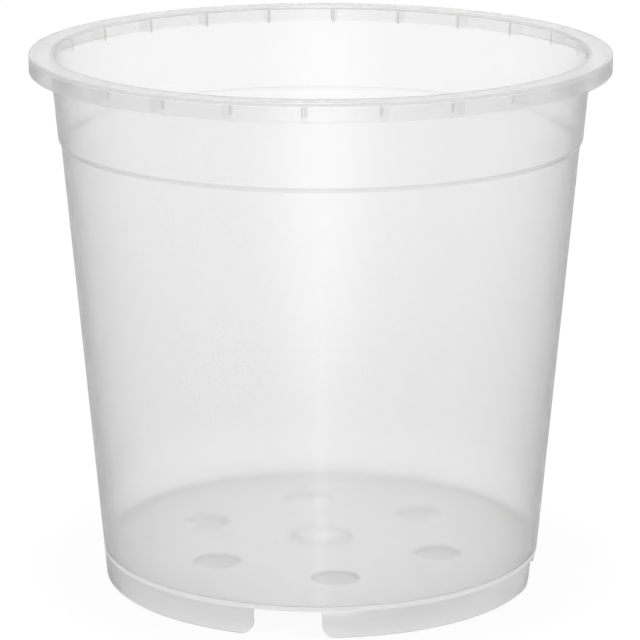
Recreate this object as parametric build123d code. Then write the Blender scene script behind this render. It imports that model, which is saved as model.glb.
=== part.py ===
from build123d import *
import os
from math import radians, sqrt, tan

# Driving dimensions, in millimetres and degrees

# Pot as a whole
rim_diameter = 150.0
height = 140.0
wall_thickness = 1.0
draft_angle = 4.93

# Turned-down rim
rim_overhang = 5.35
rim_height = 4.8
flange_thickness = 1.4
skirt_thickness = 1.2
rim_edge_radius = 0.4
mouth_edge_radius = 1.3
skirt_edge_radius = 0.4

# Gussets under the flange
rib_count = 24
rib_turn = 5.5
rib_root_width = 1.7
rib_tip_width = 1.0
rib_setback = 0.8

# Collar and stacking step
collar_height = 22.1
step_height = 1.2
step_width = 0.65
step_radius = 0.8

# Floor with its drain holes and moulded centre
floor_thickness = 1.0
heel_radius = 2.0
drain_hole_count = 6
drain_hole_diameter = 12.0
drain_circle_diameter = 67.0
drain_turn = 15.0
dome_diameter = 17.2
dome_rise = 2.6
gate_diameter = 3.0
gate_height = 0.6
gate_edge_radius = 0.25

# Foot ring with its slots
foot_height = 7.2
foot_edge_radius = 0.3
slot_count = 4
slot_width = 17.5
slot_corner_radius = 3.6

# Overlap of a cutting tool past the face that it leaves
cut_margin = 1.0

# Levels and radii that follow from the driving dimensions
taper = tan(radians(draft_angle))
rim_radius = rim_diameter / 2
skirt_inner_radius = rim_radius - skirt_thickness
flange_underside = height - flange_thickness
skirt_bottom = height - rim_height
rib_bottom = skirt_bottom + rib_setback
collar_top_radius = rim_radius - rim_overhang
step_top = height - collar_height
step_bottom = step_top - step_height
step_land = step_radius / 2
collar_bottom = step_top + step_land
wall_top = step_bottom - step_land
floor_top = foot_height + floor_thickness
heel_top = floor_top + heel_radius
dome_radius = dome_diameter / 2
dome_sphere_radius = (dome_radius**2 + dome_rise**2) / (2 * dome_rise)


def collar_radius(z):
    """Outer radius of the collar's cone at height z."""
    return collar_top_radius - taper * (flange_underside - z)


def wall_radius(z):
    """Outer radius of the main wall's cone at height z."""
    return collar_radius(z) - step_width


def dome_level(r):
    """Height of the dome's upper face at radius r."""
    return floor_top + dome_rise - dome_sphere_radius + sqrt(dome_sphere_radius**2 - r**2)


floor_edge_radius = wall_radius(floor_top) - wall_thickness - heel_radius


def section(*points):
    """Closed flat section from points given as radius and height."""
    return make_face(Polyline(*points, close=True))


def eased(flat, corner, radius):
    """Section with the corner nearest to a point rounded off."""
    return fillet(flat.vertices().sort_by_distance(corner)[0], radius)


def turned(flat):
    """Solid of revolution of a section about the pot's axis."""
    return revolve(Plane.XZ * flat, axis=Axis.Z)


def around(shape, count, first_angle=0.0):
    """Copies of a shape, evenly spaced round the pot's axis."""
    return [Rot(0, 0, first_angle + 360 / count * k) * shape for k in range(count)]


def sloped_ring(radius_at, bottom, top):
    """Conical ring of the pot's wall between two heights."""
    return turned(
        section(
            (radius_at(bottom) - wall_thickness, bottom),
            (radius_at(bottom), bottom),
            (radius_at(top), top),
            (radius_at(top) - wall_thickness, top),
        )
    )


def rim_flange():
    """Flat ring round the mouth, with its inner and outer top edges rounded."""
    inner_bottom = (collar_radius(flange_underside) - wall_thickness, flange_underside)
    inner_top = (collar_radius(height) - wall_thickness, height)
    outer_top = (rim_radius, height)
    flat = section(inner_bottom, (rim_radius, flange_underside), outer_top, inner_top)
    flat = eased(flat, outer_top, min(rim_edge_radius, 0.95 * flange_thickness))
    flat = eased(flat, inner_top, min(mouth_edge_radius, 0.9 * flange_thickness))
    return turned(flat)


def rim_skirt():
    """Short upright wall that hangs from the flange's outer edge."""
    outer_bottom = (rim_radius, skirt_bottom)
    flat = section(
        (skirt_inner_radius, skirt_bottom),
        outer_bottom,
        (rim_radius, flange_underside),
        (skirt_inner_radius, flange_underside),
    )
    return turned(eased(flat, outer_bottom, skirt_edge_radius))


def rim_ribs():
    """Gussets that fill the gap between collar and skirt, each thinner towards its tip."""
    gap = turned(
        section(
            (collar_radius(rib_bottom), rib_bottom),
            (skirt_inner_radius, rib_bottom),
            (skirt_inner_radius, flange_underside),
            (collar_radius(flange_underside), flange_underside),
        )
    )
    blade_face = section(
        (-rib_tip_width / 2, rib_bottom),
        (rib_tip_width / 2, rib_bottom),
        (rib_root_width / 2, flange_underside),
        (-rib_root_width / 2, flange_underside),
    )
    blade = extrude(Plane.XZ * blade_face, amount=rim_radius)
    return around(blade & gap, rib_count, rib_turn)


def stacking_step():
    """Ledge between wall and collar, on which the next pot in a stack sits."""
    outline = (
        (wall_radius(wall_top), wall_top),
        (wall_radius(step_bottom), step_bottom),
        (collar_radius(step_top), step_top),
        (collar_radius(collar_bottom), collar_bottom),
    )
    inside = tuple((r - wall_thickness, z) for r, z in reversed(outline))
    flat = section(*outline, *inside)
    for corner in (outline[1], outline[2], inside[1], inside[2]):
        flat = eased(flat, corner, step_radius)
    return turned(flat)


def heel():
    """Corner where the wall turns into the floor, filleted inside."""
    inner_corner = (wall_radius(floor_top) - wall_thickness, floor_top)
    flat = section(
        (floor_edge_radius, foot_height),
        (wall_radius(foot_height), foot_height),
        (wall_radius(heel_top), heel_top),
        (wall_radius(heel_top) - wall_thickness, heel_top),
        inner_corner,
        (floor_edge_radius, floor_top),
    )
    return turned(eased(flat, inner_corner, heel_radius))


def floor_plate():
    """Raised floor with a ring of drain holes and a seat for the dome."""
    plate = turned(
        section(
            (dome_radius, foot_height),
            (floor_edge_radius, foot_height),
            (floor_edge_radius, floor_top),
            (dome_radius, floor_top),
        )
    )
    drill = extrude(Circle(drain_hole_diameter / 2), amount=floor_top + cut_margin)
    drill = Pos(0, -drain_circle_diameter / 2, 0) * drill
    return plate - around(drill, drain_hole_count, drain_turn)


def centre_dome():
    """Shallow dome in the middle of the floor, hollow from below."""
    crown = (0, dome_level(0))
    shoulder = (dome_radius, floor_top)
    seat = (dome_radius, foot_height)
    hollow = (0, dome_level(0) - floor_thickness)
    rise_line = Line(hollow, crown)
    upper_arc = RadiusArc(crown, shoulder, dome_sphere_radius)
    edge_line = Line(shoulder, seat)
    lower_arc = RadiusArc(seat, hollow, -dome_sphere_radius)
    return turned(make_face(rise_line + upper_arc + edge_line + lower_arc))


def gate_mark():
    """Small round stub on the dome where the plastic entered the mould."""
    gate_radius = gate_diameter / 2
    stub_top = dome_level(0) + gate_height
    crown = (0, dome_level(0))
    seat = (gate_radius, dome_level(gate_radius))
    edge = (gate_radius, stub_top)
    seat_arc = RadiusArc(crown, seat, dome_sphere_radius)
    flat = make_face(seat_arc + Polyline(seat, edge, (0, stub_top), crown))
    return turned(eased(flat, edge, gate_edge_radius))


def foot_segments():
    """Foot ring below the floor, cut into segments by the air slots."""
    outer_bottom = (wall_radius(0), 0)
    flat = section(
        (wall_radius(0) - wall_thickness, 0),
        outer_bottom,
        (wall_radius(foot_height), foot_height),
        (wall_radius(foot_height) - wall_thickness, foot_height),
    )
    ring = turned(eased(flat, outer_bottom, foot_edge_radius))
    half_slot = slot_width / 2
    half_mouth = half_slot + slot_corner_radius
    left_arc = RadiusArc((-half_mouth, 0), (-half_slot, slot_corner_radius), -slot_corner_radius)
    right_arc = RadiusArc((half_slot, slot_corner_radius), (half_mouth, 0), -slot_corner_radius)
    upper_lines = Polyline(
        (-half_slot, slot_corner_radius),
        (-half_slot, foot_height + cut_margin),
        (half_slot, foot_height + cut_margin),
        (half_slot, slot_corner_radius),
    )
    lower_lines = Polyline(
        (half_mouth, 0), (half_mouth, -cut_margin), (-half_mouth, -cut_margin), (-half_mouth, 0)
    )
    slot_face = make_face(left_arc + upper_lines + right_arc + lower_lines)
    slot = extrude(Plane.XZ * slot_face, amount=rim_radius)
    between_slots = Vector(0, -rim_radius, 0).rotate(Axis.Z, 180 / slot_count)
    segments = (ring - around(slot, slot_count)).solids()
    return around(segments.sort_by_distance(between_slots)[0], slot_count)


def pot_nodes():
    """Every node of the pot by name."""
    nodes = {
        "rim_flange": rim_flange(),
        "rim_skirt": rim_skirt(),
        "collar": sloped_ring(collar_radius, collar_bottom, flange_underside),
        "stacking_step": stacking_step(),
        "wall": sloped_ring(wall_radius, heel_top, wall_top),
        "heel": heel(),
        "floor": floor_plate(),
        "centre_dome": centre_dome(),
        "gate_mark": gate_mark(),
    }
    for number, rib in enumerate(rim_ribs(), start=1):
        nodes[f"rim_rib_{number:02d}"] = rib
    for number, segment in enumerate(foot_segments(), start=1):
        nodes[f"foot_{number}"] = segment
    return nodes


os.makedirs("parts", exist_ok=True)
for node_name, solid in pot_nodes().items():
    export_step(solid, f"parts/{node_name}.step")
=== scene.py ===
import logging
import math
from collections.abc import Callable
from dataclasses import dataclass
from enum import Enum
from functools import cached_property
from typing import Any, ClassVar

import bmesh
import bpy
from bpy.types import ID, Material, Mesh, Node, NodeTree, Object, World
from bpy.types import MeshPolygon as Face, NodeSocket as Socket
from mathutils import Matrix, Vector


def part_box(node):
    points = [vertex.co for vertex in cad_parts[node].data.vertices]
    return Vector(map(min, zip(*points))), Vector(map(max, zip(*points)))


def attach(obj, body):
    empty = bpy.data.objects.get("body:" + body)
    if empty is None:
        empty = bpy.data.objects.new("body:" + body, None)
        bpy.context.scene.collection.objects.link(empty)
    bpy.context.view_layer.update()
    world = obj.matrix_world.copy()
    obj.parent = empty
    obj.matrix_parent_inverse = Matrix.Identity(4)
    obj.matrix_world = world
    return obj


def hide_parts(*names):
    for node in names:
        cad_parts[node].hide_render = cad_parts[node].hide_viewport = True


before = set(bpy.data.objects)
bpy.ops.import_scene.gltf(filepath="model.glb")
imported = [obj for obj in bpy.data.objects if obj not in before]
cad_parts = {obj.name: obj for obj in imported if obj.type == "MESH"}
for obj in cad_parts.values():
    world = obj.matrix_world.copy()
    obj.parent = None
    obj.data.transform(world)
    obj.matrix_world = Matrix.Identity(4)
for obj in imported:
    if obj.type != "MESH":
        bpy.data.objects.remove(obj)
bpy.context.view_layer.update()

MM = 0.001
LOG = logging.getLogger("orchid_pot")
RIB_COUNT = 24
VIEW_AZIMUTH = math.radians(8.5)
HALF_TURN = 180.0
# Places of the sockets by which a Mix node mixes colours
MIX_SHARE, MIX_FIRST, MIX_SECOND, MIX_COLOUR = 0, 6, 7, 2

Point = tuple[float, float]
Colour = tuple[float, float, float, float]
Stops = tuple[Point, ...]
Inputs = dict[str | int, Any]


class NodeBench:
    """Adds nodes to a tree and joins them, so that a tree reads from its inputs to its output."""

    def __init__(self, tree: NodeTree) -> None:
        """Keeps the tree that the nodes go into."""
        self.tree = tree

    def add(self, kind: str, inputs: Inputs | None = None, **settings: Any) -> Node:
        """Adds one node, with its settings and inputs.

        Args:
            kind: Blender's name for the kind of node.
            inputs: Value or source socket for each input, by name or place.
            settings: Properties of the node itself.

        Returns:
            The new node.
        """
        node = self.tree.nodes.new(kind)
        for name, value in settings.items():
            setattr(node, name, value)
        for name, value in (inputs or {}).items():
            for source in value if isinstance(value, list) else [value]:
                if isinstance(source, Socket):
                    self.tree.links.new(source, node.inputs[name])
                else:
                    node.inputs[name].default_value = source
        return node

    def result(
        self, kind: str, inputs: Inputs | None = None, output: str | int = 0, **settings: Any
    ) -> Socket:
        """Adds a shader node and returns one of its results."""
        return self.add(f"ShaderNode{kind}", inputs, **settings).outputs[output]

    def value(self, operation: str, *terms: Any) -> Socket:
        """Adds a Math node and returns its result."""
        return self.result("Math", dict(enumerate(terms)), operation=operation)

    def vector(self, operation: str, *terms: Any) -> Socket:
        """Adds a Vector Math node and returns its result."""
        output = "Value" if operation in ("LENGTH", "DOT_PRODUCT") else "Vector"
        return self.result("VectorMath", dict(enumerate(terms)), output, operation=operation)

    def along(self, axis: str, distance: Any) -> Socket:
        """Adds a vector along one axis and returns it."""
        return self.result("CombineXYZ", {axis: distance})

    def span(
        self,
        value: Socket,
        start: float = 0.0,
        end: float = 1.0,
        low: Any = 0.0,
        high: Any = 1.0,
        smooth: bool = False,
    ) -> Socket:
        """Maps a value from one range to another.

        Args:
            value: Value to map.
            start: Value that gives low.
            end: Value that gives high.
            low: Result up to start.
            high: Result from end on.
            smooth: Whether the way from low to high is eased.

        Returns:
            The result.
        """
        inputs = {"Value": value, "From Min": start, "From Max": end, "To Min": low, "To Max": high}
        ease = "SMOOTHSTEP" if smooth else "LINEAR"
        return self.result("MapRange", inputs, interpolation_type=ease)

    def noise(self, place: Socket, scale: float, detail: float, roughness: float = 0.5) -> Socket:
        """Adds a noise and returns its level."""
        inputs = {"Vector": place, "Scale": scale, "Detail": detail, "Roughness": roughness}
        return self.result("TexNoise", inputs)

    def ramp(self, value: Socket, levels: Stops) -> Socket:
        """Turns a value between 0 and 1 into a level.

        Args:
            value: Value to look up.
            levels: Values with the level at each.

        Returns:
            The level, with straight runs between those given.
        """
        ramp = self.add("ShaderNodeValToRGB", {"Fac": value})
        stops = ramp.color_ramp.elements
        while len(stops) < len(levels):
            stops.new(0.5)
        for stop, (position, level) in zip(stops, levels):
            stop.position = position
            stop.color = grey(level)
        return ramp.outputs["Color"]


def new_group(name: str, kind: str, inputs: dict[str, str], outputs: dict[str, str]) -> NodeBench:
    """Starts a node group with named sockets.

    Args:
        name: Name of the group.
        kind: Kind of nodes, Geometry or Shader.
        inputs: Kind of each input.
        outputs: Kind of each output.

    Returns:
        Bench of the group.
    """
    tree = bpy.data.node_groups.new(name, f"{kind}NodeTree")
    for way, sockets in {"INPUT": inputs, "OUTPUT": outputs}.items():
        for label, socket in sockets.items():
            tree.interface.new_socket(label, in_out=way, socket_type=f"NodeSocket{socket}")
    return NodeBench(tree)


def fresh_bench(owner: Material | World) -> NodeBench:
    """Opens the emptied node tree of a material or world.

    Args:
        owner: Material or world.

    Returns:
        Bench of its tree.
    """
    owner.use_nodes = True
    owner.node_tree.nodes.clear()
    return NodeBench(owner.node_tree)


def placed(name: str, data: ID) -> Object:
    """Puts a mesh, lamp or camera into the scene.

    Args:
        name: Name of the new object.
        data: What it shows.

    Returns:
        The object, at the origin.
    """
    thing = bpy.data.objects.new(name, data)
    bpy.context.scene.collection.objects.link(thing)
    return thing


def aim_at(thing: Object, place: Vector, aim: Vector) -> None:
    """Moves a lamp or camera to a place and turns it to a point."""
    thing.location = place
    thing.rotation_euler = (aim - place).to_track_quat("-Z", "Y").to_euler()


def meshed(sheet: bmesh.types.BMesh, name: str) -> Mesh:
    """Turns a sheet of faces into a mesh and frees it.

    Args:
        sheet: Faces.
        name: Name of the mesh.

    Returns:
        The mesh.
    """
    mesh = bpy.data.meshes.new(name)
    sheet.to_mesh(mesh)
    sheet.free()
    return mesh


def grey(level: float) -> Colour:
    """Neutral colour of a level."""
    return (level, level, level, 1.0)


class ShapeTree:
    """Base of the Geometry Nodes trees: named inputs, one mesh out, realised and with its material."""

    name: str = ""
    sockets: dict[str, str] = {}
    merge_distance: float = 1e-6

    def __init__(self) -> None:
        """Builds the tree with its sockets, its shape and its closing nodes."""
        inputs = {"Geometry": "Geometry", **self.sockets, "Material": "Material"}
        self.bench = new_group(self.name, "Geometry", inputs, {"Geometry": "Geometry"})
        self.tree = self.bench.tree
        self.entry = self.bench.add("NodeGroupInput").outputs
        whole = self.step("RealizeInstances", {"Geometry": self.shape()})
        dressed = self.step("SetMaterial", {"Geometry": whole, "Material": self.entry["Material"]})
        self.bench.add("NodeGroupOutput", {"Geometry": dressed})

    def step(self, kind: str, inputs: Inputs, **settings: Any) -> Socket:
        """Adds a geometry node and returns its first result."""
        return self.bench.add(f"GeometryNode{kind}", inputs, **settings).outputs[0]

    def shape(self) -> Socket:
        """Adds the nodes that make the shape and returns their geometry."""
        raise NotImplementedError

    def outline(self) -> Socket:
        """Reads the mesh that the tree works on as a curve."""
        return self.step("MeshToCurve", {"Mesh": self.entry["Geometry"]})

    def circle(self, steps: Any, radius: Any) -> Socket:
        """Draws a circle round the axis."""
        return self.step("CurvePrimitiveCircle", {"Resolution": steps, "Radius": radius})

    def swept(self, path: Socket, profile: Socket) -> Socket:
        """Sweeps a profile along a path."""
        return self.step("CurveToMesh", {"Curve": path, "Profile Curve": profile})

    def merged(self, whole: Socket) -> Socket:
        """Merges points that coincide."""
        return self.step("MergeByDistance", {"Geometry": whole, "Distance": self.merge_distance})

    def ring(self, pattern: Socket) -> Socket:
        """Sets copies of a pattern evenly round the pot's axis, by the inputs Count and First Angle.

        Args:
            pattern: Geometry that is repeated.

        Returns:
            The copies, realised.
        """
        count = self.entry["Count"]
        index = self.step("InputIndex", {})
        pitch = self.bench.value("DIVIDE", math.tau, count)
        turn = self.bench.value("MULTIPLY_ADD", index, pitch, self.entry["First Angle"])
        spin = self.bench.along("Z", turn)
        seats = self.step("Points", {"Count": count})
        copies = self.step("InstanceOnPoints", {"Points": seats, "Instance": pattern, "Rotation": spin})
        return self.step("RealizeInstances", {"Geometry": copies})

    def form(self, name: str, start: Mesh, values: dict[str, Any]) -> Object:
        """Runs the tree on a mesh and keeps the result as a plain mesh.

        Args:
            name: Name of the new piece.
            start: Mesh that the tree works on.
            values: Value of each named input.

        Returns:
            The new object, at the origin and without modifiers.
        """
        piece = placed(name, start)
        modifier = piece.modifiers.new(self.name, "NODES")
        modifier.node_group = self.tree
        for item in self.tree.interface.items_tree:
            if item.in_out == "INPUT" and item.name in values:
                modifier[item.identifier] = values[item.name]
        graph = bpy.context.evaluated_depsgraph_get()
        mesh = bpy.data.meshes.new_from_object(piece.evaluated_get(graph))
        piece.modifiers.remove(modifier)
        piece.data = mesh
        mesh.name = name
        bpy.data.meshes.remove(start)
        return piece


class TurnedSection(ShapeTree):
    """Turns a section, drawn as radius and height, into a body of revolution."""

    name = "turned_section"
    sockets = {"Segments": "Int", "Path Radius": "Float"}

    def shape(self) -> Socket:
        """Sweeps the section along a circle and closes it on the axis."""
        path = self.circle(self.entry["Segments"], self.entry["Path Radius"])
        return self.merged(self.swept(path, self.outline()))


class RingPattern(ShapeTree):
    """Repeats one piece evenly round the pot's axis."""

    name = "ring_pattern"
    sockets = {"Count": "Int", "First Angle": "Float"}

    def shape(self) -> Socket:
        """Copies the piece round the axis."""
        return self.ring(self.entry["Geometry"])


class DrilledPlate(ShapeTree):
    """Makes a round plate with a seat in its middle and a ring of holes, whose lips come as a section."""

    name = "drilled_plate"
    lengths = ("Outer Radius", "Seat Radius", "Lip Radius", "Path Radius", "Hole Circle", "Bottom", "Top")
    sockets = {**dict.fromkeys(lengths, "Float"), "Count": "Int", "First Angle": "Float"}
    edge_steps = 240
    seat_steps = 128
    hole_steps = 72

    def moved(self, part: Socket, axis: str, distance: Socket) -> Socket:
        """Moves a part along one axis."""
        return self.step("Transform", {"Geometry": part, "Translation": self.bench.along(axis, distance)})

    def shape(self) -> Socket:
        """Fills both faces between the outlines, and closes them with walls and hole lips.

        Returns:
            The plate.
        """
        entry = self.entry
        reach, low, high = [
            self.bench.value("MULTIPLY", entry[label], -1.0) for label in ("Hole Circle", "Bottom", "Top")
        ]
        edge = self.circle(self.edge_steps, entry["Outer Radius"])
        seat = self.circle(self.seat_steps, entry["Seat Radius"])
        spout = self.swept(self.circle(self.hole_steps, entry["Path Radius"]), self.outline())
        lips = self.ring(self.moved(spout, "Y", reach))
        hole = self.circle(self.hole_steps, entry["Lip Radius"])
        holes = self.ring(self.moved(hole, "Y", reach))
        outlines = self.step("JoinGeometry", {"Geometry": [edge, seat, holes]})
        sheet = self.step("FillCurve", {"Curve": outlines}, mode="TRIANGLES")
        ends = {"Start": self.bench.along("Y", low), "End": self.bench.along("Y", high)}
        side = self.step("CurvePrimitiveLine", ends)
        faces = [self.moved(sheet, "Z", entry[label]) for label in ("Top", "Bottom")]
        walls = [self.swept(path, side) for path in (edge, seat)]
        return self.merged(self.step("JoinGeometry", {"Geometry": [*faces, *walls, lips]}))


class OneMoulding(ShapeTree):
    """Unites zones of the pot into one body."""

    def __init__(self, name: str, zones: tuple[str, ...]) -> None:
        """Builds the tree.

        Args:
            name: Name of the tree.
            zones: Names of the zones that it unites.
        """
        self.name = name
        self.sockets = dict.fromkeys(zones, "Object")
        super().__init__()

    def shape(self) -> Socket:
        """Unites the zones.

        Returns:
            The body.
        """
        kind = "GeometryNodeObjectInfo"
        zones = [self.bench.add(kind, {"Object": self.entry[zone]}) for zone in self.sockets]
        parts = [zone.outputs["Geometry"] for zone in zones]
        return self.step("MeshBoolean", {"Mesh 2": parts}, operation="UNION", solver="MANIFOLD")


@dataclass(frozen=True)
class Corner:
    """Corner of a section, with the radius that eases it."""

    radius: float
    height: float
    ease: float = 0.0

    @property
    def place(self) -> Vector:
        """Corner as a flat vector of radius and height."""
        return Vector((self.radius, self.height))


@dataclass
class Section:
    """Outline of a turned piece, traced from its corners."""

    corners: list[Corner]
    closed: bool = True
    arc_steps: int = 7
    pitch: float = 5.0 * MM
    guard: float = 0.3 * MM
    guards_per_run: int = 4

    @classmethod
    def through(cls, *corners: tuple[float, ...], **settings: Any) -> "Section":
        """Section through corners given by radius, height and ease."""
        return cls([Corner(*corner) for corner in corners], **settings)

    def arc(self, before: Corner, corner: Corner, after: Corner) -> list[Point]:
        """Rounds one corner off.

        Args:
            before: Corner ahead of it.
            corner: Corner to round.
            after: Corner behind it.

        Returns:
            Points of the arc, from one side of the corner to the other.
        """
        into = (before.place - corner.place).normalized()
        out = (after.place - corner.place).normalized()
        half = into.angle(out) / 2
        centre = corner.place + (into + out).normalized() * (corner.ease / math.sin(half))
        reach = corner.ease / math.tan(half)
        start = corner.place + into * reach - centre
        end = corner.place + out * reach - centre
        first = math.atan2(start.y, start.x)
        sweep = math.remainder(math.atan2(end.y, end.x) - first, math.tau)
        angles = [first + sweep * step / self.arc_steps for step in range(self.arc_steps + 1)]
        return [
            (centre.x + corner.ease * math.cos(a), centre.y + corner.ease * math.sin(a)) for a in angles
        ]

    def run(self, start: Point, end: Point) -> list[Point]:
        """Divides a straight run, with a guard point close to each end.

        Args:
            start: First end of the run.
            end: Other end of the run.

        Returns:
            Points between the ends, without the ends.
        """
        length = math.dist(start, end)
        if length < self.guards_per_run * self.guard:
            return []
        count = max(1, round(length / self.pitch))
        stops = [self.guard, *(length * k / count for k in range(1, count)), length - self.guard]
        return [
            (start[0] + (end[0] - start[0]) * s / length, start[1] + (end[1] - start[1]) * s / length)
            for s in stops
        ]

    def points(self) -> list[Point]:
        """Traces the outline.

        Returns:
            Points of the outline in order, as radius and height.
        """
        total = len(self.corners)
        bends: list[list[Point]] = []
        for k, corner in enumerate(self.corners):
            open_end = not self.closed and k in (0, total - 1)
            if corner.ease and not open_end:
                bends.append(self.arc(self.corners[k - 1], corner, self.corners[(k + 1) % total]))
            else:
                bends.append([(corner.radius, corner.height)])
        line: list[Point] = []
        for k, bend in enumerate(bends):
            line += bend
            if self.closed or k + 1 < total:
                line += self.run(bend[-1], bends[(k + 1) % total][0])
        return line

    def mesh(self, name: str, path_radius: float) -> Mesh:
        """Draws the outline as edges, in the way that the turning tree reads it.

        Args:
            name: Name of the mesh.
            path_radius: Radius of the circle that the section is swept along.

        Returns:
            Mesh of edges.
        """
        line = self.points()
        total = len(line)
        edges = [(k, (k + 1) % total) for k in range(total if self.closed else total - 1)]
        mesh = bpy.data.meshes.new(name)
        mesh.from_pydata([(r - path_radius, -z, 0.0) for r, z in line], edges, [])
        return mesh


@dataclass(frozen=True)
class PotGauge:
    """Main levels and radii of the pot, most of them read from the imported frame."""

    wall_thickness: float = 1.0 * MM
    skirt_thickness: float = 1.2 * MM
    flange_thickness: float = 0.9 * MM
    tongue: float = 0.3 * MM
    inset: float = 0.05 * MM
    step_land: float = 0.4 * MM
    edge_band: float = 0.25 * MM
    rim_radius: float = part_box("rim_flange")[1].x
    height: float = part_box("rim_flange")[1].z
    flange_underside: float = height - flange_thickness
    collar_top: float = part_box("rim_flange")[0].z
    collar_radius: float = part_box("collar")[1].x
    skirt_bottom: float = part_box("rim_skirt")[0].z
    rib_bottom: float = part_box("rim_rib_01")[0].z
    step_top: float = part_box("stacking_step")[1].z - step_land
    step_bottom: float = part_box("stacking_step")[0].z + step_land
    wall_top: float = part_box("wall")[1].z
    wall_top_radius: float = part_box("wall")[1].x
    taper: float = (wall_top_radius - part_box("heel")[1].x) / (wall_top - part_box("heel")[1].z)
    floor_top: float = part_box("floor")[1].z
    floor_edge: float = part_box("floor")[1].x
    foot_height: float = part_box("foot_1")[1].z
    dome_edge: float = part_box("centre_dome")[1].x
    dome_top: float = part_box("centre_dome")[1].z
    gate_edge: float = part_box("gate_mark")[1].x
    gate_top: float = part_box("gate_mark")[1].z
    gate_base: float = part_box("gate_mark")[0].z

    @property
    def edge_top(self) -> float:
        """Height up to which the floor's edge shows in the outer wall."""
        return self.floor_top + self.edge_band

    def tongued(self, edge: float, reach: float) -> list[Point]:
        """Tongue by which one part of the floor reaches past an edge into the next."""
        top, bottom = self.floor_top - self.inset, self.foot_height + self.inset
        return [(edge, top), (edge + reach, top), (edge + reach, bottom), (edge, bottom)]

    def collar_at(self, z: float) -> float:
        """Outer radius of the collar's cone at a height."""
        return self.collar_radius - self.taper * (self.collar_top - z)

    def wall_at(self, z: float) -> float:
        """Outer radius of the main wall's cone at a height."""
        return self.wall_top_radius - self.taper * (self.wall_top - z)


class MouldFlow:
    """Shader group for what moulding leaves in clear plastic: cloudy flow lines, ripple and fine haze, and
    painted shade that darkens the plastic towards the bottom of the pot.
    """

    name: str = "mould_flow"
    low_shade_top: float = 130.0 * MM
    low_shade_bottom: float = 10.0 * MM
    flow_scale: float = 40.0
    flow_detail: float = 3.0
    flow_roughness: float = 0.55
    speck_scale: float = 900.0
    speck_detail: float = 2.0
    speck_share: float = 0.1
    speck_ripple: float = 0.01
    wave_detail: float = 1.0
    patch_range: Point = (0.35, 0.65)

    def __init__(self) -> None:
        """Builds the group once."""
        inputs = {"Vector": "Vector", "Stretch": "Float", "Low Shade Share": "Float"}
        bench = new_group(self.name, "Shader", inputs, {"Haze And Low Shade": "Float", "Ripple": "Float"})
        self.tree = bench.tree
        entry = bench.add("NodeGroupInput").outputs
        place, low_shade_share = entry["Vector"], entry["Low Shade Share"]
        squeeze = bench.result("CombineXYZ", {"X": 1.0, "Y": 1.0, "Z": entry["Stretch"]})
        drawn = bench.vector("MULTIPLY", place, squeeze)
        flow = bench.noise(drawn, self.flow_scale, self.flow_detail, self.flow_roughness)
        speck = bench.noise(place, self.speck_scale, self.speck_detail)
        wave = bench.noise(place, self.flow_scale, self.wave_detail)
        streaks = bench.value("MULTIPLY", flow, 1.0 - self.speck_share)
        haze = bench.value("MULTIPLY_ADD", speck, self.speck_share, streaks)
        height = bench.result("SeparateXYZ", {0: place}, "Z")
        # Painted shade: a level that grows towards the bottom of the pot, so that the tint darkens there.
        base = bench.span(height, self.low_shade_top, self.low_shade_bottom)
        kept = bench.value("SUBTRACT", 1.0, low_shade_share)
        patchy = bench.value("MULTIPLY", bench.span(haze, *self.patch_range), kept)
        hazed_and_shaded = bench.value("MULTIPLY_ADD", base, low_shade_share, patchy)
        ripple = bench.value("MULTIPLY_ADD", speck, self.speck_ripple, wave)
        bench.add("NodeGroupOutput", {"Haze And Low Shade": hazed_and_shaded, "Ripple": ripple})


@dataclass(frozen=True)
class ClearPlastic:
    """Natural polypropylene, clear with a slight haze."""

    name: str
    tint_clear: float
    tint_haze_and_shade: float
    gloss_clear: float
    gloss_cloudy: float
    transmission: float = 0.97
    ior: float = 1.49
    stretch: float = 0.15
    # Share of the haze level that is painted shade, darker towards the bottom of the pot.
    low_shade_share: float = 0.0
    ripple: float = 0.02
    ripple_depth: float = 0.1 * MM
    glow_depth: float = 0.0

    def material(self, flow: MouldFlow) -> Material:
        """Builds the finish.

        Args:
            flow: Shader group that clouds and ripples the plastic.

        Returns:
            The material.
        """
        material = bpy.data.materials.new(self.name)
        bench = fresh_bench(material)
        place = bench.result("TexCoord", output="Object")
        inputs = {"Vector": place, "Stretch": self.stretch, "Low Shade Share": self.low_shade_share}
        marks = bench.add("ShaderNodeGroup", inputs, node_tree=flow.tree).outputs
        # Haze level, with painted shade towards the bottom where the finish has a share of it.
        haze_and_shade = marks["Haze And Low Shade"]
        tints = {
            MIX_SHARE: haze_and_shade,
            MIX_FIRST: grey(self.tint_clear),
            MIX_SECOND: grey(self.tint_haze_and_shade),
        }
        waves = {"Strength": self.ripple, "Distance": self.ripple_depth, "Height": marks["Ripple"]}
        shader = bench.result(
            "BsdfPrincipled",
            {
                "Base Color": bench.result("Mix", tints, MIX_COLOUR, data_type="RGBA"),
                "Roughness": bench.span(haze_and_shade, low=self.gloss_clear, high=self.gloss_cloudy),
                "IOR": self.ior,
                "Transmission Weight": self.transmission,
                "Subsurface Weight": 1.0 if self.glow_depth else 0.0,
                "Subsurface Radius": (1.0, 1.0, 1.0),
                "Subsurface Scale": self.glow_depth,
                "Normal": bench.result("Bump", waves),
            },
        )
        bench.add("ShaderNodeOutputMaterial", {"Surface": shader})
        return material


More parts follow.
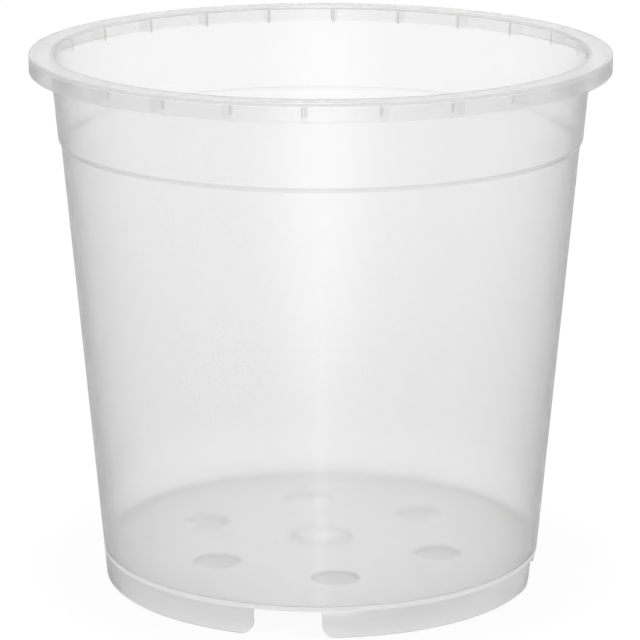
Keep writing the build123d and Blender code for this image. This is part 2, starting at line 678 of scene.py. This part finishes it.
class Finish(Enum):
    """Finishes of the pot's zones."""

    # Painted shade: most of the wall's haze level is a darkening towards the bottom of the pot.
    WALL = ClearPlastic("clear_wall", 0.985, 0.935, 0.10, 0.12, low_shade_share=0.8)
    SKIRT = ClearPlastic("hazy_skirt", 0.97, 0.95, 0.18, 0.22, stretch=1.0)
    FLANGE = ClearPlastic("hazy_flange", 0.98, 0.96, 0.18, 0.22, 0.7, stretch=1.0)
    RIB = ClearPlastic("cloudy_rib", 0.975, 0.96, 0.10, 0.12, 0.95, ior=1.005, stretch=1.0)
    # Painted shade: a dark stripe on the middle of each gusset's inner end.
    RIB_END = ClearPlastic("rib_end_painted_shade", 0.62, 0.58, 0.10, 0.12, 0.95, ior=1.005, stretch=1.0)
    FLOOR = ClearPlastic("milky_floor", 0.97, 0.96, 0.15, 0.2, 0.15, stretch=1.0, glow_depth=1.5 * MM)
    # Painted shade: a darker tint on the dome's slope.
    DOME = ClearPlastic("dome_painted_shade", 0.83, 0.81, 0.15, 0.2, 0.15, stretch=1.0, glow_depth=0.7 * MM)
    # Painted shade: a darker tint on the stacking step, for the dark line that the step shows.
    STEP = ClearPlastic("step_painted_shade", 0.89, 0.86, 0.10, 0.12)
    EDGE = ClearPlastic("milky_edge", 0.91, 0.90, 0.2, 0.25, 0.2)


class Workshop:
    """What every piece is made with: the gauge, the shape trees and the finishes."""

    def __init__(self) -> None:
        """Reads the frame and builds each tree and finish once."""
        self.gauge = PotGauge()
        self.turning = TurnedSection()
        self.ringing = RingPattern()
        self.drilling = DrilledPlate()
        flow = MouldFlow()
        self.finishes = {finish: finish.value.material(flow) for finish in Finish}

    def paint(self, body: Object, finish_of: Callable[[Face], Finish]) -> None:
        """Gives each face of a body its finish.

        Args:
            body: Body to paint.
            finish_of: Picks the finish of a face.
        """
        picks = [finish_of(face) for face in body.data.polygons]
        order = [finish for finish in Finish if finish in picks]
        body.data.materials.clear()
        for finish in order:
            body.data.materials.append(self.finishes[finish])
        for face, pick in zip(body.data.polygons, picks):
            face.material_index = order.index(pick)

    def deliver(self, piece: Object, nodes: tuple[str, ...]) -> None:
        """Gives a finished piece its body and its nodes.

        Args:
            piece: Finished piece.
            nodes: CAD nodes that it stands for.
        """
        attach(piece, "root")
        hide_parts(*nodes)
        LOG.info("%s: %d faces", piece.name, len(piece.data.polygons))


@dataclass
class Piece:
    """Base of the pot's sub-assemblies."""

    shop: Workshop
    name: ClassVar[str] = ""
    nodes: ClassVar[tuple[str, ...]] = ()
    path_radius: ClassVar[float] = 10.0 * MM

    @property
    def gauge(self) -> PotGauge:
        """Gauge of the pot."""
        return self.shop.gauge

    @property
    def material(self) -> Material:
        """Material of the pot's main finish."""
        return self.shop.finishes[Finish.WALL]

    def build(self) -> Object:
        """Builds the piece's mesh."""
        raise NotImplementedError

    def outward(self) -> Object:
        """Builds the piece and turns its faces outwards.

        Returns:
            The piece's mesh as an object.
        """
        piece = self.build()
        sheet = bmesh.new()
        sheet.from_mesh(piece.data)
        bmesh.ops.recalc_face_normals(sheet, faces=sheet.faces)
        sheet.to_mesh(piece.data)
        sheet.free()
        return piece


@dataclass
class TurnedPiece(Piece):
    """Base of the pieces that are turned from a section."""

    segments: int = 320

    def section(self) -> Section:
        """Outline that is turned."""
        raise NotImplementedError

    def build(self) -> Object:
        """Turns the section round the pot's axis.

        Returns:
            The turned piece.
        """
        line = self.section().mesh(self.name, self.path_radius)
        values = {"Segments": self.segments, "Path Radius": self.path_radius, "Material": self.material}
        return self.shop.turning.form(self.name, line, values)


@dataclass
class RingedPiece(Piece):
    """Base of the pieces that stand evenly round the pot, one for each node."""

    first_angle: float = 0.0

    def one(self) -> Mesh:
        """Mesh of the first one, before it is turned."""
        raise NotImplementedError

    def build(self) -> Object:
        """Sets the copies round the pot's axis."""
        values = {"Count": len(self.nodes), "First Angle": self.first_angle, "Material": self.material}
        return self.shop.ringing.form(self.name, self.one(), values)


@dataclass
class RimRing(TurnedPiece):
    """Flange round the mouth and the skirt that hangs from it."""

    name = "rim_ring"
    nodes = ("rim_flange", "rim_skirt")
    outer_edge: float = 0.25 * MM
    mouth_edge: float = 0.5 * MM
    skirt_edge: float = 0.4 * MM
    inner_lip: float = 0.25 * MM
    root_fillet: float = 0.05 * MM
    haze_lap: float = 0.1 * MM

    def section(self) -> Section:
        """Outline of flange and skirt.

        Returns:
            Section of the rim.
        """
        g = self.gauge
        skirt_inside = g.rim_radius - g.skirt_thickness
        mouth = g.collar_at(g.height) - g.wall_thickness
        return Section.through(
            (g.collar_at(g.flange_underside) - g.wall_thickness, g.flange_underside),
            (skirt_inside, g.flange_underside, self.root_fillet),
            (skirt_inside, g.skirt_bottom, self.inner_lip),
            (g.rim_radius, g.skirt_bottom, self.skirt_edge),
            (g.rim_radius, g.flange_underside - self.haze_lap),
            (g.rim_radius, g.height, self.outer_edge),
            (mouth, g.height, self.mouth_edge),
        )


@dataclass
class RimRibs(RingedPiece):
    """Gussets between collar and skirt, under the flange."""

    name = "rim_ribs"
    nodes = tuple(f"rim_rib_{number:02d}" for number in range(1, RIB_COUNT + 1))
    first_angle: float = math.radians(5.5)
    root_width: float = 1.5 * MM
    tip_width: float = 1.3 * MM
    drop: float = 0.4 * MM
    fit: float = 0.02 * MM
    tip_edge: float = 0.2 * MM
    tip_steps: int = 3
    end_turn: float = 0.7
    shade_stripe: float = 0.6 * MM
    halves: Point = (-0.5, 0.5)
    round_profile: float = 0.5

    def one(self) -> Mesh:
        """Builds one gusset.

        Returns:
            Mesh of the gusset at the pot's front.
        """
        g = self.gauge
        top = g.flange_underside - self.fit
        outer = g.rim_radius - g.skirt_thickness - self.fit
        corners = []
        for z, width in ((g.rib_bottom - self.drop, self.tip_width), (top, self.root_width)):
            inner = g.collar_at(z) + self.fit
            for side in self.halves:
                corners += [(side * width, -inner, z), (side * width, -outer, z)]
        sheet = bmesh.new()
        dots = [sheet.verts.new(place) for place in corners]
        faces = ((0, 1, 3, 2), (4, 6, 7, 5), (0, 4, 5, 1), (2, 3, 7, 6), (0, 2, 6, 4), (1, 5, 7, 3))
        for face in faces:
            sheet.faces.new([dots[k] for k in face])
        tips = [edge for edge in sheet.edges if set(edge.verts) in ({dots[0], dots[1]}, {dots[2], dots[3]})]
        bmesh.ops.bevel(
            sheet,
            geom=tips,
            offset=self.tip_edge,
            segments=self.tip_steps,
            profile=self.round_profile,
            affect="EDGES",
        )
        for side in self.halves:
            bmesh.ops.bisect_plane(
                sheet,
                geom=[*sheet.verts, *sheet.edges, *sheet.faces],
                plane_co=(side * self.shade_stripe, 0.0, 0.0),
                plane_no=(1.0, 0.0, 0.0),
            )
        return meshed(sheet, self.name)

    def finish_of(self, face: Face) -> Finish:
        """Picks the finish of a face.

        Args:
            face: Face of a gusset.

        Returns:
            The finish with a painted shade stripe in the middle of the gusset's inner end, else the cloudy
            one.
        """
        place = face.center.xy
        if face.normal.xy.dot(place.normalized()) > -self.end_turn:
            return Finish.RIB
        pitch = math.tau / len(self.nodes)
        turn = (math.atan2(place.x, -place.y) - self.first_angle) % pitch
        aside = min(turn, pitch - turn) * place.length
        return Finish.RIB_END if aside < self.shade_stripe / 2 else Finish.RIB

    def hand_over(self) -> None:
        """Builds the gussets and gives them their finishes, body and nodes."""
        ribs = self.outward()
        self.shop.paint(ribs, self.finish_of)
        self.shop.deliver(ribs, self.nodes)


@dataclass
class PotWall(TurnedPiece):
    """Collar, stacking step and tapered wall, down to the foot."""

    name = "pot_wall"
    nodes = ("collar", "stacking_step", "wall")
    step_ease: float = 0.3 * MM

    def section(self) -> Section:
        """Outline of the wall, up its outer face and down its inner one.

        Returns:
            Section of the wall.
        """
        g = self.gauge
        t = g.wall_thickness
        foot, top = g.foot_height, g.flange_underside
        mouth = g.collar_at(top) - t
        edge = g.edge_top
        return Section.through(
            (g.wall_at(foot) - t, foot),
            (g.wall_at(foot), foot),
            (g.wall_at(edge), edge),
            (g.wall_at(g.step_bottom), g.step_bottom, self.step_ease),
            (g.collar_at(g.step_top), g.step_top, self.step_ease),
            (g.collar_at(top + g.tongue), top + g.tongue),
            (mouth + g.inset, top + g.tongue),
            (mouth + g.inset, top),
            (mouth, top),
            (g.collar_at(g.step_top) - t, g.step_top, self.step_ease),
            (g.wall_at(g.step_bottom) - t, g.step_bottom, self.step_ease),
        )


@dataclass
class HeelFillet(TurnedPiece):
    """Edge of the floor, with the fillet that runs up the inside of the wall."""

    name = "heel_fillet"
    nodes = ("heel",)
    fit: float = 0.02 * MM
    lip: float = 0.15 * MM
    rise: float = 0.2 * MM
    fillet: float = 0.15 * MM

    def section(self) -> Section:
        """Outline of the floor's edge, with the tongue that joins it to the plate.

        Returns:
            Section of the edge.
        """
        g = self.gauge
        foot, floor = g.foot_height, g.floor_top
        top = floor + self.rise
        play = g.wall_thickness + self.fit
        return Section.through(
            (g.floor_edge, foot),
            (g.wall_at(foot) - play, foot),
            (g.wall_at(top) - play, top),
            (g.wall_at(top) - play - self.lip, top),
            (g.wall_at(floor) - play - self.lip, floor, self.fillet),
            (g.floor_edge, floor),
            *g.tongued(g.floor_edge, -g.tongue),
        )


@dataclass
class DrainFloor(Piece):
    """Raised floor with its drain holes."""

    name = "drain_floor"
    nodes = ("floor",)
    hole_count: int = 6
    hole_radius: float = 6.0 * MM
    hole_circle: float = 33.5 * MM
    first_angle: float = math.radians(15.0)
    hole_edge: float = 0.5 * MM
    under_edge: float = 0.2 * MM
    lip_steps: int = 5

    @property
    def lip_radius(self) -> float:
        """Radius at which a hole's lip meets the floor's faces."""
        return self.hole_radius + 2 * self.hole_edge

    def lip(self) -> Section:
        """Outline of a hole's wall, rounded towards both faces of the floor.

        Returns:
            Section of the lip.
        """
        g = self.gauge
        return Section.through(
            (self.lip_radius, g.floor_top),
            (self.hole_radius, g.floor_top, self.hole_edge),
            (self.hole_radius, g.foot_height, self.under_edge),
            (self.lip_radius, g.foot_height),
            closed=False,
            arc_steps=self.lip_steps,
        )

    def build(self) -> Object:
        """Makes the drilled plate.

        Returns:
            The plate.
        """
        g = self.gauge
        values = {
            "Outer Radius": g.floor_edge,
            "Seat Radius": g.dome_edge,
            "Lip Radius": self.lip_radius,
            "Path Radius": self.path_radius,
            "Hole Circle": self.hole_circle,
            "Count": self.hole_count,
            "First Angle": self.first_angle,
            "Bottom": g.foot_height,
            "Top": g.floor_top,
            "Material": self.material,
        }
        lip = self.lip().mesh(self.name, self.path_radius)
        return self.shop.drilling.form(self.name, lip, values)


@dataclass
class CentreDome(TurnedPiece):
    """Shallow dome in the middle of the floor."""

    name = "floor_dome"
    nodes = ("centre_dome",)
    arc_steps: int = 14
    segments: int = 128

    def arc(self, crown: float, shoulder: float) -> list[Point]:
        """Follows one face of the dome from its crown to its edge.

        Args:
            crown: Height on the axis.
            shoulder: Height at the edge.

        Returns:
            Corners along the face.
        """
        edge = self.gauge.dome_edge
        rise = crown - shoulder
        ball = (edge**2 + rise**2) / (2 * rise)
        reach = math.asin(edge / ball)
        tilts = [reach * k / self.arc_steps for k in range(self.arc_steps + 1)]
        return [(ball * math.sin(a), crown - ball * (1 - math.cos(a))) for a in tilts]

    def section(self) -> Section:
        """Outline of the dome, with the tongue that seats it in the floor.

        Returns:
            Section of the dome.
        """
        g = self.gauge
        thickness = g.floor_top - g.foot_height
        seat = g.tongued(g.dome_edge, g.tongue)
        upper = self.arc(g.dome_top, g.floor_top)
        lower = self.arc(g.dome_top - thickness, g.foot_height)
        return Section.through(*upper, *seat, *lower[::-1], closed=False)


@dataclass
class GateMark(TurnedPiece):
    """Stub where the plastic entered the mould."""

    name = "gate_stub"
    nodes = ("gate_mark",)
    top_edge: float = 0.25 * MM
    dimple: float = 0.12 * MM
    dimple_share: float = 0.6
    segments: int = 48

    def section(self) -> Section:
        """Outline of the stub, sunk a little into the dome.

        Returns:
            Section of the stub.
        """
        g = self.gauge
        base = g.gate_base - g.tongue
        return Section.through(
            (0.0, g.gate_top - self.dimple),
            (g.gate_edge * self.dimple_share, g.gate_top, self.top_edge),
            (g.gate_edge, g.gate_top, self.top_edge),
            (g.gate_edge, base),
            (0.0, base),
            closed=False,
        )


@dataclass
class FootRing(RingedPiece):
    """Segments of the foot between the air slots, with rounded lower corners."""

    name = "foot_ring"
    nodes = ("foot_1", "foot_2", "foot_3", "foot_4")
    slot_width: float = 17.5 * MM
    corner: float = 3.6 * MM
    end_edge: float = 0.25 * MM
    bottom_edge: float = 0.3 * MM
    inner_edge: float = 0.2 * MM
    span_steps: int = 56
    corner_steps: int = 9
    edge_steps: int = 4
    guard: float = 0.2 * MM
    undivided: float = 1.0

    @staticmethod
    def bend(edge: float, steps: int) -> list[float]:
        """Distances from an end at which its rounded edge is divided."""
        return [edge * (1 - math.cos(math.pi / 2 * k / steps)) for k in range(steps + 1)]

    @staticmethod
    def drawn(edge: float, along: float) -> float:
        """How far a rounded edge draws back at a distance from the end."""
        return edge - math.sqrt(edge**2 - (edge - along) ** 2) if along < edge else 0.0

    def stations(self, length: float) -> list[float]:
        """Distances along a segment at which its section is placed.

        Args:
            length: Length of the segment along its outer face.

        Returns:
            Distances from the first end, closer together where the ends are rounded.
        """
        start = self.bend(self.end_edge, self.edge_steps)[:-1]
        start += [d for d in self.bend(self.corner, self.corner_steps) if d >= self.end_edge]
        middle = length - 2 * self.corner
        inner = [self.corner + middle * k / self.span_steps for k in range(1, self.span_steps)]
        return start + inner + [length - d for d in reversed(start)]

    def slice(self, along: float) -> list[Point]:
        """Outline of the foot's section at a distance from its nearer end.

        Args:
            along: Distance from the end.

        Returns:
            Points of the outline as radius and height.
        """
        g = self.gauge
        t = g.wall_thickness
        lift, draw = self.drawn(self.corner, along), self.drawn(self.end_edge, along)
        top = g.foot_height
        outer, inner = g.wall_at(top) - draw, g.wall_at(top) - t + draw
        outline = Section.through(
            (g.wall_at(lift) - draw, lift, self.bottom_edge),
            (outer, top),
            (outer - g.inset, top),
            (outer - g.inset, top + g.tongue),
            (inner + g.inset, top + g.tongue),
            (inner + g.inset, top),
            (inner, top),
            (g.wall_at(lift) - t + draw, lift, self.inner_edge),
            arc_steps=self.edge_steps,
            pitch=self.undivided,
            guard=self.guard,
        )
        return outline.points()

    def one(self) -> Mesh:
        """Builds one segment of the foot.

        Returns:
            Mesh of the segment that follows the slot at the pot's front.
        """
        radius = self.gauge.wall_at(0.0)
        slot_angle = math.asin(self.slot_width / 2 / radius)
        length = radius * (math.tau / len(self.nodes) - 2 * slot_angle)
        sheet = bmesh.new()
        loops = []
        for along in self.stations(length):
            angle = slot_angle + along / radius
            outline = self.slice(min(along, length - along))
            loops.append(
                [sheet.verts.new((r * math.sin(angle), -r * math.cos(angle), z)) for r, z in outline]
            )
        total = len(loops[0])
        for first, second in zip(loops, loops[1:]):
            for k in range(total):
                n = (k + 1) % total
                sheet.faces.new((first[k], first[n], second[n], second[k]))
        sheet.faces.new(loops[0][::-1])
        sheet.faces.new(loops[-1])
        return meshed(sheet, self.name)


@dataclass
class UnitedBody(Piece):
    """Part of the pot that is united from several zones."""

    makers: ClassVar[dict[str, type[Piece]]] = {}
    crease: float = math.radians(38.0)
    level: float = 0.999

    def finish_of(self, face: Face) -> Finish:
        """Picks the finish of a face."""
        raise NotImplementedError

    def build(self) -> Object:
        """Builds the zones and unites them.

        Returns:
            The body as one mesh.
        """
        zones = {zone: maker(self.shop).outward() for zone, maker in self.makers.items()}
        values = {**zones, "Material": self.material}
        union = OneMoulding(f"one_{self.name}", tuple(zones))
        body = union.form(self.name, bpy.data.meshes.new(self.name), values)
        for zone in zones.values():
            bpy.data.objects.remove(zone)
        return body

    def dress(self, body: Object) -> None:
        """Gives each face its finish, and shades the body smooth up to its creases and level faces.

        Args:
            body: Body to dress.
        """
        self.shop.paint(body, self.finish_of)
        body.data.set_sharp_from_angle(angle=self.crease)
        for face in body.data.polygons:
            face.use_smooth = abs(face.normal.z) < self.level

    def hand_over(self) -> None:
        """Builds the body and gives it its finishes and nodes."""
        body = self.build()
        self.dress(body)
        self.shop.deliver(body, tuple(node for maker in self.makers.values() for node in maker.nodes))


@dataclass
class PotShell(UnitedBody):
    """Wall, rim and foot."""

    name = "pot_shell"
    makers = {"Wall": PotWall, "Rim": RimRing, "Foot": FootRing}
    slack: float = 0.01 * MM
    end_turn: float = 0.5
    clear_hem: float = 0.45 * MM

    def finish_of(self, face: Face) -> Finish:
        """Picks the finish of a face.

        Args:
            face: Face of the shell.

        Returns:
            Finish of the zone that the face belongs to.
        """
        g = self.gauge
        place = face.center
        if place.z > g.flange_underside + self.slack:
            return Finish.FLANGE
        reach = place.xy.length
        if reach > g.rim_radius - g.skirt_thickness / 2:
            return Finish.SKIRT if place.z > g.skirt_bottom + self.clear_hem else Finish.WALL
        aside = abs(place.x * face.normal.y - place.y * face.normal.x) / reach
        if place.z < g.foot_height:
            return Finish.EDGE if aside > self.end_turn else Finish.WALL
        if reach < g.wall_at(place.z) - g.wall_thickness / 2:
            return Finish.WALL
        # Painted shade on the band of the stacking step.
        if g.step_bottom < place.z < g.step_top:
            return Finish.STEP
        return Finish.EDGE if place.z < g.edge_top else Finish.WALL


@dataclass
class PotFloor(UnitedBody):
    """Floor with its edge, dome and gate mark."""

    name = "pot_floor"
    makers = {"Plate": DrainFloor, "Heel": HeelFillet, "Dome": CentreDome, "Gate": GateMark}
    dome_level: float = 0.91
    dome_steep: float = 0.7

    def finish_of(self, face: Face) -> Finish:
        """Picks the finish of a face.

        Args:
            face: Face of the floor.

        Returns:
            The finish with painted shade on the dome's slope, else the floor's.
        """
        g = self.gauge
        on_dome = g.gate_edge < face.center.xy.length < g.dome_edge
        sloped = self.dome_steep < face.normal.z < self.dome_level
        return Finish.DOME if on_dome and sloped else Finish.FLOOR


@dataclass(frozen=True)
class SoftLamp:
    """Square lamp that neither the camera nor a ray through the plastic sees."""

    name: str
    reach: float
    azimuth: float
    height: float
    size: float
    power: float

    def hang(self, aim: Vector) -> None:
        """Hangs the lamp.

        Args:
            aim: Point that it faces.
        """
        data = bpy.data.lights.new(self.name, "AREA")
        data.shape = "RECTANGLE"
        data.size = data.size_y = self.size
        data.energy = self.power
        lamp = placed(self.name, data)
        level = (self.reach * math.sin(self.azimuth), -self.reach * math.cos(self.azimuth))
        aim_at(lamp, Vector((*level, self.height)), aim)
        lamp.visible_camera = False
        lamp.visible_transmission = False


@dataclass
class Studio:
    """White floor, soft lamps, world and camera."""

    azimuth: float = VIEW_AZIMUTH
    elevation: float = math.radians(14.713)
    distance: float = 876.2 * MM
    orbit_height: float = 65.0 * MM
    aim_height: float = 67.9 * MM
    aim_side: float = -0.18 * MM
    lens: float = 187.3
    sensor: float = 36.0
    view_end: float = 30.0
    floor_size: float = 12.0
    floor_albedo: float = 0.95
    white_open: float = 0.92
    white_below: float = 0.58
    foot_radius: float = 56.0 * MM
    shade_start: float = 46.0 * MM
    shade_end: float = 66.0 * MM
    ambient: float = 1.0
    overhead: float = 1.0
    overhead_rise: Point = (0.35, 0.8)
    front_end: float = math.radians(100.0)
    rear_start: float = math.radians(143.0)
    rear_shade: float = 0.6
    streak_end: float = math.radians(8.0)
    streak_glow: float = 0.85
    aim_rounds: int = 2
    trapped_glow: float = 0.85
    once: float = 0.5
    twice: float = 1.5
    bounces: int = 64
    lamp_aim: float = 70.0 * MM
    lamps: tuple[SoftLamp, ...] = (
        SoftLamp("top_lamp", reach=0.03, azimuth=0.0, height=0.95, size=0.2, power=3.3),
        SoftLamp("front_lamp", reach=0.9, azimuth=VIEW_AZIMUTH, height=0.75, size=0.25, power=0.3),
    )
    floor_glow: Stops = (
        (0.10, 0.30), (0.16, 0.45), (0.20, 0.50), (0.25, 0.60),
        (0.30, 0.75), (0.36, 1.00), (0.45, 1.10), (0.55, 1.80),
    )
    glow: Stops = (
        (0.0, 1.08), (10.0, 0.98), (20.0, 0.64), (32.0, 0.38), (50.0, 0.25), (80.0, 0.20),
        (122.0, 0.26), (146.0, 0.42), (160.0, 0.63), (172.0, 0.70), (180.0, 0.70),
    )

    @property
    def across(self) -> Vector:
        """Level direction to the right in the camera's view."""
        return Vector((math.cos(self.azimuth), math.sin(self.azimuth), 0.0))

    @property
    def front(self) -> Vector:
        """Level direction from the pot to the camera's side."""
        return Vector((math.sin(self.azimuth), -math.cos(self.azimuth), 0.0))

    def camera(self) -> None:
        """Places the camera at the photograph's viewing angle."""
        data = bpy.data.cameras.new("studio_camera")
        data.lens = self.lens
        data.sensor_width = self.sensor
        data.clip_end = self.view_end
        rise = Vector((0.0, 0.0, 1.0))
        place = (
            rise * (self.orbit_height + self.distance * math.sin(self.elevation))
            + self.front * self.distance * math.cos(self.elevation)
        )
        camera = placed("studio_camera", data)
        aim_at(camera, place, rise * self.aim_height + self.across * self.aim_side)
        bpy.context.scene.camera = camera

    def turn(self, bench: NodeBench, way: Socket) -> Socket:
        """Angle of a direction round the pot, from the camera's side.

        Args:
            bench: Bench of the tree.
            way: Direction from the pot.

        Returns:
            Angle between 0 and half a turn.
        """
        level = bench.vector("MULTIPLY", way, (1.0, 1.0, 0.0))
        heading = bench.vector("NORMALIZE", level)
        cosine = bench.vector("DOT_PRODUCT", heading, tuple(self.front))
        return bench.value("ARCCOSINE", cosine)

    @cached_property
    def mirror_glow(self) -> NodeTree:
        """Group that says how bright the studio looks in a reflection.

        Returns:
            Group that reads an angle, a shade, a least level and a mask of trapped rays, and gives a level.
        """
        inputs = dict.fromkeys(("Turn", "Shade", "Least", "Trapped"), "Float")
        bench = new_group("mirror_glow", "Shader", inputs, {"Level": "Float"})
        entry = bench.add("NodeGroupInput").outputs
        stops = tuple((degrees / HALF_TURN, level) for degrees, level in self.glow)
        around = bench.ramp(bench.value("DIVIDE", entry["Turn"], math.pi), stops)
        shaded = bench.value("MULTIPLY", around, entry["Shade"])
        clear = bench.value("MAXIMUM", shaded, entry["Least"])
        level = bench.span(entry["Trapped"], low=clear, high=self.trapped_glow)
        bench.add("NodeGroupOutput", {"Level": level})
        return bench.tree

    def seen(self, bench: NodeBench) -> tuple[Socket, ...]:
        """Sorts the rays that reach the studio.

        Args:
            bench: Bench of the floor's or the world's tree.

        Returns:
            Masks of rays straight from the camera, of rays through the plastic, of rays that were
            reflected on their way, and of those that were trapped in the plastic for a while.
        """
        path = bench.add("ShaderNodeLightPath").outputs
        direct = bench.value("LESS_THAN", path["Diffuse Depth"], self.once)
        bounced = bench.value("GREATER_THAN", path["Glossy Depth"], self.once)
        mirror = bench.value("MULTIPLY", bounced, direct)
        straight = bench.value("SUBTRACT", direct, mirror)
        through = bench.value("MULTIPLY", path["Is Transmission Ray"], straight)
        trapped = bench.value("GREATER_THAN", path["Glossy Depth"], self.twice)
        return path["Is Camera Ray"], through, mirror, trapped

    def paper(self) -> Material:
        """Builds the floor's look: white to the camera and through the plastic, dim in reflections, with a
        painted shadow of the pot near its foot and a painted highlight streak in front.

        Returns:
            The material.
        """
        material = bpy.data.materials.new("white_floor")
        bench = fresh_bench(material)
        camera, through, mirror, trapped = self.seen(bench)
        place = bench.result("TexCoord", output="Object")
        reach = bench.vector("LENGTH", place)
        below = bench.span(reach, self.shade_start, self.shade_end, self.white_below, self.white_open)
        under = bench.value("MULTIPLY", through, below)
        share = bench.value("MULTIPLY_ADD", camera, self.white_open, under)
        paper = bench.result("BsdfDiffuse", {"Color": grey(self.floor_albedo)})
        plain = bench.result("Emission", {"Strength": 1.0})
        lit = bench.result("MixShader", {0: share, 1: paper, 2: plain})
        turn = self.turn(bench, place)
        near = bench.value("MINIMUM", bench.value("DIVIDE", self.foot_radius, reach), 1.0)
        heading = turn
        for _ in range(self.aim_rounds):
            half = bench.value("SINE", bench.value("MULTIPLY", heading, 0.5))
            lean = bench.value("ARCSINE", bench.value("MULTIPLY", near, half))
            heading = bench.value("ADD", turn, lean)
        # Painted shadow of the pot: in reflections the floor is dim near the pot's foot and grows brighter
        # farther out.
        front = bench.ramp(reach, self.floor_glow)
        rear = bench.span(heading, self.rear_start, math.pi, 1.0, self.rear_shade)
        around = bench.span(heading, self.front_end, self.rear_start, front, rear, smooth=True)
        # Painted highlight: a bright streak in reflections straight in front of the pot.
        streak = bench.span(heading, 0.0, self.streak_end, self.streak_glow, 0.0, smooth=True)
        shade = bench.value("MAXIMUM", around, streak)
        inputs = {"Turn": heading, "Shade": shade, "Trapped": trapped}
        level = bench.result("Group", inputs, node_tree=self.mirror_glow)
        dim = bench.result("Emission", {"Strength": level})
        mixed = bench.result("MixShader", {0: mirror, 1: lit, 2: dim})
        bench.add("ShaderNodeOutputMaterial", {"Surface": mixed})
        return material

    def floor(self) -> None:
        """Lays the white floor."""
        half = self.floor_size / 2
        corners = [(-half, -half, 0.0), (half, -half, 0.0), (half, half, 0.0), (-half, half, 0.0)]
        mesh = bpy.data.meshes.new("floor")
        mesh.from_pydata(corners, [], [(0, 1, 2, 3)])
        mesh.materials.append(self.paper())
        floor = placed("floor_sheet", mesh)

    def world(self) -> None:
        """Sets the world: white behind the pot, dim in reflections, plain light elsewhere."""
        world = bpy.data.worlds.new("studio_world")
        bench = fresh_bench(world)
        camera, through, mirror, trapped = self.seen(bench)
        way = bench.result("TexCoord", output="Generated")
        height = bench.result("SeparateXYZ", {0: way}, "Z")
        above = bench.span(height, *self.overhead_rise, 0.0, self.overhead, smooth=True)
        inputs = {"Turn": self.turn(bench, way), "Shade": 1.0, "Least": above, "Trapped": trapped}
        level = bench.result("Group", inputs, node_tree=self.mirror_glow)
        mirrored = bench.span(mirror, low=self.ambient, high=level)
        white = bench.value("MAXIMUM", camera, through)
        strength = bench.value("MAXIMUM", mirrored, white)
        sky = bench.result("Background", {"Color": grey(1.0), "Strength": strength})
        bench.add("ShaderNodeOutputWorld", {"Surface": sky})
        bpy.context.scene.world = world

    def build(self) -> None:
        """Sets up the whole studio."""
        scene = bpy.context.scene
        scene.view_settings.view_transform = "Standard"
        for kind in ("max", "diffuse", "glossy", "transmission"):
            setattr(scene.cycles, f"{kind}_bounces", self.bounces)
        self.camera()
        self.floor()
        self.world()
        for lamp in self.lamps:
            lamp.hang(Vector((0.0, 0.0, self.lamp_aim)))


def main() -> None:
    """Builds the pot and its studio."""
    logging.basicConfig(level=logging.INFO, format="%(name)s %(message)s")
    shop = Workshop()
    for maker in (PotShell, PotFloor, RimRibs):
        maker(shop).hand_over()
    Studio().build()


if __name__ == "__main__":
    main()
